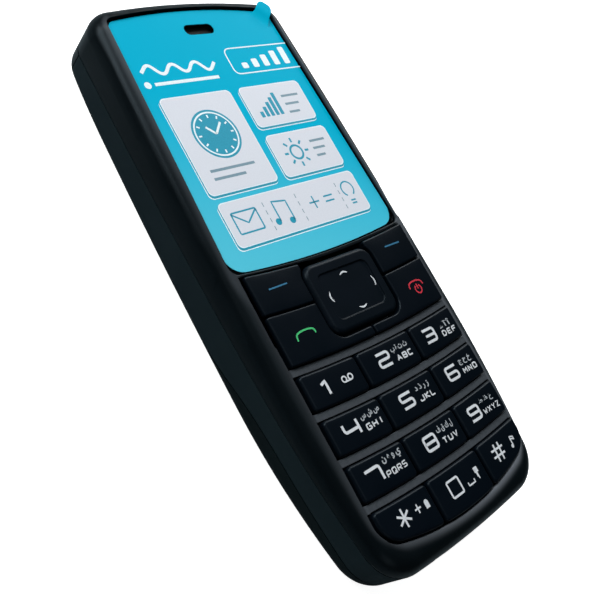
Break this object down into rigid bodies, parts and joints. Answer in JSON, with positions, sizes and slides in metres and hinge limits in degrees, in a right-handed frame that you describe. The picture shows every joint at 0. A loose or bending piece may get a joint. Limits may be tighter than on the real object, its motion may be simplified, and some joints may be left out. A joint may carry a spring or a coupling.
{
  "type": "keypad bar phone",
  "caption": "Bar-shaped keypad telephone with a rocker key, digit keys, a window under a printed film, a slide-off battery cover and its inner parts.",
  "frame": {"origin": "under the middle of the phone, on the surface its back rests on", "axes": "+X to the right of someone who reads the keys, +Y towards the earpiece end, +Z out of the screen"},
  "size_m": [0.0456, 0.1032, 0.0146],
  "materials": {
    "bezel_black": "satin gloss",
    "band_slate": "satin",
    "cover_black": "satin",
    "cap_black": "satin",
    "window_glass": "polished",
    "printed_film": "printed, glossy",
    "display_frame": "gloss",
    "fine_steel": "satin",
    "inner_black": "matt",
    "board_green": "solder mask",
    "dome_metal": "satin",
    "grey_rubber": "matt",
    "rocker_black": "satin gloss",
    "battery_wrap": "matt",
    "contact_brass": "plated",
    "weight_metal": "sintered",
    "torch_clear": "polished",
    "led_white": "satin",
    "screw_steel": "plated",
    "key_blue_black": "satin gloss"
  },
  "bodies": {
    "phone": {"front_housing": "bezel_black", "rear_housing": "band_slate", "top_cap": "cap_black", "display_lens": "window_glass", "screen_film": "printed_film", "display_module": "display_frame", "earpiece_mesh": "fine_steel", "earpiece_speaker": "inner_black", "main_board": "board_green", "dome_sheet": "dome_metal", "keypad_mat": "grey_rubber", "battery": "battery_wrap", "battery_contacts": "contact_brass", "sim_holder_left": "fine_steel", "sim_holder_right": "fine_steel", "memory_card_holder": "fine_steel", "radio_shield": "fine_steel", "loudspeaker": "inner_black", "vibration_motor": "fine_steel", "microphone": "fine_steel", "charging_port": "fine_steel", "headset_jack": "inner_black", "torch_lens": "torch_clear", "torch_led": "led_white", "antenna": "inner_black", "housing_screws": "screw_steel"},
    "key_1": {"key_1": "key_blue_black"},
    "key_2": {"key_2": "key_blue_black"},
    "key_3": {"key_3": "key_blue_black"},
    "key_4": {"key_4": "key_blue_black"},
    "key_5": {"key_5": "key_blue_black"},
    "key_6": {"key_6": "key_blue_black"},
    "key_7": {"key_7": "key_blue_black"},
    "key_8": {"key_8": "key_blue_black"},
    "key_9": {"key_9": "key_blue_black"},
    "key_star": {"key_star": "key_blue_black"},
    "key_0": {"key_0": "key_blue_black"},
    "key_hash": {"key_hash": "key_blue_black"},
    "soft_key_left": {"soft_key_left": "key_blue_black"},
    "soft_key_right": {"soft_key_right": "key_blue_black"},
    "call_key": {"call_key": "key_blue_black"},
    "end_key": {"end_key": "key_blue_black"},
    "rocker_pivot": {"rocker_pivot": "grey_rubber"},
    "rocker_key": {"rocker_key": "rocker_black"},
    "battery_cover": {"battery_cover": "cover_black"},
    "vibration_weight": {"vibration_weight": "weight_metal"}
  },
  "joints": [
    {"name": "key_1_press", "type": "slide", "parent": "phone", "child": "key_1", "axis": [0, 0, -1], "range_m": [0, 0.00035], "stiffness_N_per_m": 600},
    {"name": "key_2_press", "type": "slide", "parent": "phone", "child": "key_2", "axis": [0, 0, -1], "range_m": [0, 0.00035], "stiffness_N_per_m": 600},
    {"name": "key_3_press", "type": "slide", "parent": "phone", "child": "key_3", "axis": [0, 0, -1], "range_m": [0, 0.00035], "stiffness_N_per_m": 600},
    {"name": "key_4_press", "type": "slide", "parent": "phone", "child": "key_4", "axis": [0, 0, -1], "range_m": [0, 0.00035], "stiffness_N_per_m": 600},
    {"name": "key_5_press", "type": "slide", "parent": "phone", "child": "key_5", "axis": [0, 0, -1], "range_m": [0, 0.00035], "stiffness_N_per_m": 600},
    {"name": "key_6_press", "type": "slide", "parent": "phone", "child": "key_6", "axis": [0, 0, -1], "range_m": [0, 0.00035], "stiffness_N_per_m": 600},
    {"name": "key_7_press", "type": "slide", "parent": "phone", "child": "key_7", "axis": [0, 0, -1], "range_m": [0, 0.00035], "stiffness_N_per_m": 600},
    {"name": "key_8_press", "type": "slide", "parent": "phone", "child": "key_8", "axis": [0, 0, -1], "range_m": [0, 0.00035], "stiffness_N_per_m": 600},
    {"name": "key_9_press", "type": "slide", "parent": "phone", "child": "key_9", "axis": [0, 0, -1], "range_m": [0, 0.00035], "stiffness_N_per_m": 600},
    {"name": "key_star_press", "type": "slide", "parent": "phone", "child": "key_star", "axis": [0, 0, -1], "range_m": [0, 0.00035], "stiffness_N_per_m": 600},
    {"name": "key_0_press", "type": "slide", "parent": "phone", "child": "key_0", "axis": [0, 0, -1], "range_m": [0, 0.00035], "stiffness_N_per_m": 600},
    {"name": "key_hash_press", "type": "slide", "parent": "phone", "child": "key_hash", "axis": [0, 0, -1], "range_m": [0, 0.00035], "stiffness_N_per_m": 600},
    {"name": "soft_key_left_press", "type": "slide", "parent": "phone", "child": "soft_key_left", "axis": [0, 0, -1], "range_m": [0, 0.00035], "stiffness_N_per_m": 600},
    {"name": "soft_key_right_press", "type": "slide", "parent": "phone", "child": "soft_key_right", "axis": [0, 0, -1], "range_m": [0, 0.00035], "stiffness_N_per_m": 600},
    {"name": "call_key_press", "type": "slide", "parent": "phone", "child": "call_key", "axis": [0, 0, -1], "range_m": [0, 0.00035], "stiffness_N_per_m": 600},
    {"name": "end_key_press", "type": "slide", "parent": "phone", "child": "end_key", "axis": [0, 0, -1], "range_m": [0, 0.00035], "stiffness_N_per_m": 600},
    {"name": "rocker_tilt_up_down", "type": "hinge", "parent": "phone", "child": "rocker_pivot", "pos_m": [0, -0.0083, 0.0111], "axis": [1, 0, 0], "range_deg": [-2, 2], "stiffness_Nm_per_rad": 0.05},
    {"name": "rocker_tilt_left_right", "type": "hinge", "parent": "rocker_pivot", "child": "rocker_key", "pos_m": [0, -0.0083, 0.0111], "axis": [0, 1, 0], "range_deg": [-2, 2], "stiffness_Nm_per_rad": 0.05},
    {"name": "battery_cover_slide", "type": "slide", "parent": "phone", "child": "battery_cover", "axis": [0, -1, 0], "range_m": [0, 0.07]},
    {"name": "vibration_weight_spin", "type": "hinge", "parent": "phone", "child": "vibration_weight", "pos_m": [0.0125, 0.0326, 0.0033], "axis": [0, 1, 0], "continuous": true}
  ]
}
